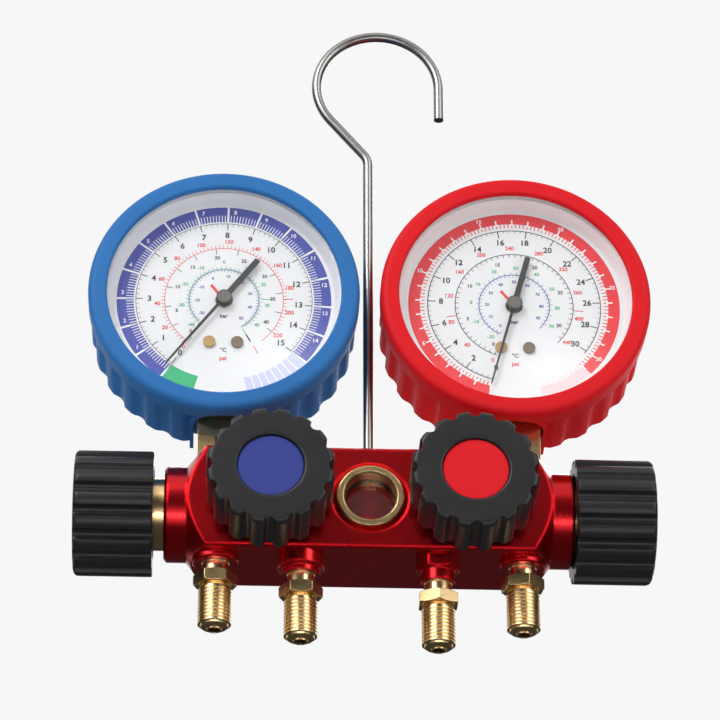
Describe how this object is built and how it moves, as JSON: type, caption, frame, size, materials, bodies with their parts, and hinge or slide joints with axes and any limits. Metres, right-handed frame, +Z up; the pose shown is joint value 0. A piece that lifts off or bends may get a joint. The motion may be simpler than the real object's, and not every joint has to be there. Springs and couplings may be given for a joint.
{
  "type": "refrigerant manifold gauge",
  "caption": "Four-valve refrigeration manifold with a sight glass, two rubber-booted dial gauges, flare hose ports and a swivelling wire hook.",
  "frame": {"origin": "the point inside the top of the hook's loop that the manifold hangs from", "axes": "+Z up towards the hook, -Y out of the dials and the sight glass, -X towards the low side"},
  "size_m": [0.1951, 0.0608, 0.2468],
  "materials": {
    "red_anodised": "red anodised satin",
    "brass": "machined",
    "inner_brass": "machined",
    "blue_rubber": "satin moulded",
    "red_rubber": "satin moulded",
    "black_rubber": "matte",
    "black_plastic": "moulded satin",
    "blue_cap": "moulded satin",
    "red_cap": "moulded satin",
    "case_steel": "plain steel",
    "hook_steel": "plated",
    "clear_glass": "clear",
    "dial_white": "printed white enamel",
    "ring_silver": "satin",
    "pointer_black": "black painted"
  },
  "bodies": {
    "manifold": {"charging_port_collar": "red_anodised", "charging_port_fitting": "brass", "charging_valve_bonnet": "brass", "dial_screws": "inner_brass", "high_gauge_boot": "red_rubber", "high_gauge_bourdon_tube": "inner_brass", "high_gauge_case": "case_steel", "high_gauge_dial": "dial_white", "high_gauge_inner_ring": "ring_silver", "high_gauge_lens": "clear_glass", "high_gauge_movement_frame": "inner_brass", "high_gauge_socket": "brass", "high_port_collar": "red_anodised", "high_port_fitting": "brass", "high_valve_bonnet": "brass", "hook_bush": "brass", "low_gauge_boot": "blue_rubber", "low_gauge_bourdon_tube": "inner_brass", "low_gauge_case": "case_steel", "low_gauge_dial": "dial_white", "low_gauge_inner_ring": "ring_silver", "low_gauge_lens": "clear_glass", "low_gauge_movement_frame": "inner_brass", "low_gauge_socket": "brass", "low_port_collar": "red_anodised", "low_port_fitting": "brass", "low_valve_bonnet": "brass", "manifold_block": "red_anodised", "sight_glass_gasket": "black_rubber", "sight_glass_lens": "clear_glass", "sight_glass_ring": "brass", "stem_packings": "black_rubber", "vacuum_port_collar": "red_anodised", "vacuum_port_fitting": "brass", "vacuum_valve_bonnet": "brass", "vent_plugs": "black_rubber"},
    "hook": {"hanging_hook": "hook_steel"},
    "low_piston": {"low_valve_piston": "inner_brass"},
    "low_hand_wheel": {"low_valve_knob": "black_plastic", "low_valve_stem": "inner_brass", "low_valve_cap": "black_plastic"},
    "high_piston": {"high_valve_piston": "inner_brass"},
    "high_hand_wheel": {"high_valve_knob": "black_plastic", "high_valve_stem": "inner_brass", "high_valve_cap": "black_plastic"},
    "vacuum_piston": {"vacuum_valve_piston": "inner_brass"},
    "vacuum_hand_wheel": {"vacuum_valve_knob": "black_plastic", "vacuum_valve_stem": "inner_brass", "vacuum_valve_cap": "blue_cap"},
    "charging_piston": {"charging_valve_piston": "inner_brass"},
    "charging_hand_wheel": {"charging_valve_knob": "black_plastic", "charging_valve_stem": "inner_brass", "charging_valve_cap": "red_cap"},
    "low_sector": {"low_gauge_sector": "inner_brass"},
    "low_pointer": {"low_gauge_pointer": "pointer_black", "low_gauge_arbor": "inner_brass"},
    "high_sector": {"high_gauge_sector": "inner_brass"},
    "high_pointer": {"high_gauge_pointer": "pointer_black", "high_gauge_arbor": "inner_brass"}
  },
  "joints": [
    {"name": "hook_swivel", "type": "hinge", "parent": "manifold", "child": "hook", "pos_m": [-0.0035, 0, -0.17325], "axis": [0, 0, 1], "continuous": true},
    {"name": "low_piston_travel", "type": "slide", "parent": "manifold", "child": "low_piston", "axis": [-1, 0, 0], "range_m": [-0.0032, 0.0013]},
    {"name": "low_hand_wheel_turn", "type": "hinge", "parent": "low_piston", "child": "low_hand_wheel", "pos_m": [-0.072, 0, -0.19175], "axis": [-1, 0, 0], "range_deg": [-768.1, 312.1]},
    {"name": "high_piston_travel", "type": "slide", "parent": "manifold", "child": "high_piston", "axis": [1, 0, 0], "range_m": [0, 0.0045]},
    {"name": "high_hand_wheel_turn", "type": "hinge", "parent": "high_piston", "child": "high_hand_wheel", "pos_m": [0.065, 0, -0.19175], "axis": [1, 0, 0], "range_deg": [0, 1080.1]},
    {"name": "vacuum_piston_travel", "type": "slide", "parent": "manifold", "child": "vacuum_piston", "axis": [0, -1, 0], "range_m": [-0.0032, 0.0013]},
    {"name": "vacuum_hand_wheel_turn", "type": "hinge", "parent": "vacuum_piston", "child": "vacuum_hand_wheel", "pos_m": [-0.0371, -0.0165, -0.19175], "axis": [0, -1, 0], "range_deg": [-768.1, 312.1]},
    {"name": "charging_piston_travel", "type": "slide", "parent": "manifold", "child": "charging_piston", "axis": [0, -1, 0], "range_m": [-0.0032, 0.0013]},
    {"name": "charging_hand_wheel_turn", "type": "hinge", "parent": "charging_piston", "child": "charging_hand_wheel", "pos_m": [0.0301, -0.0165, -0.19175], "axis": [0, -1, 0], "range_deg": [-768.1, 312.1]},
    {"name": "low_sector_rock", "type": "hinge", "parent": "manifold", "child": "low_sector", "pos_m": [-0.06792, 0, -0.12444], "axis": [0, 1, 0], "range_deg": [-27.5, 1.9], "stiffness_Nm_per_rad": 0.2},
    {"name": "low_pointer_turn", "type": "hinge", "parent": "manifold", "child": "low_pointer", "pos_m": [-0.0535, 0, -0.11435], "axis": [0, 1, 0], "range_deg": [-19, 275]},
    {"name": "high_sector_rock", "type": "hinge", "parent": "manifold", "child": "high_sector", "pos_m": [0.03208, 0, -0.12444], "axis": [0, 1, 0], "range_deg": [-29, 0], "stiffness_Nm_per_rad": 0.2},
    {"name": "high_pointer_turn", "type": "hinge", "parent": "manifold", "child": "high_pointer", "pos_m": [0.0465, 0, -0.11435], "axis": [0, 1, 0], "range_deg": [0, 290]}
  ],
  "couplings": [
    {"joint": "low_hand_wheel_turn", "follows": "low_piston_travel", "rad_per_m": 4188.8},
    {"joint": "high_hand_wheel_turn", "follows": "high_piston_travel", "rad_per_m": 4188.8},
    {"joint": "vacuum_hand_wheel_turn", "follows": "vacuum_piston_travel", "rad_per_m": 4188.8},
    {"joint": "charging_hand_wheel_turn", "follows": "charging_piston_travel", "rad_per_m": 4188.8},
    {"joint": "low_pointer_turn", "follows": "low_sector_rock", "ratio": -10},
    {"joint": "high_pointer_turn", "follows": "high_sector_rock", "ratio": -10}
  ]
}
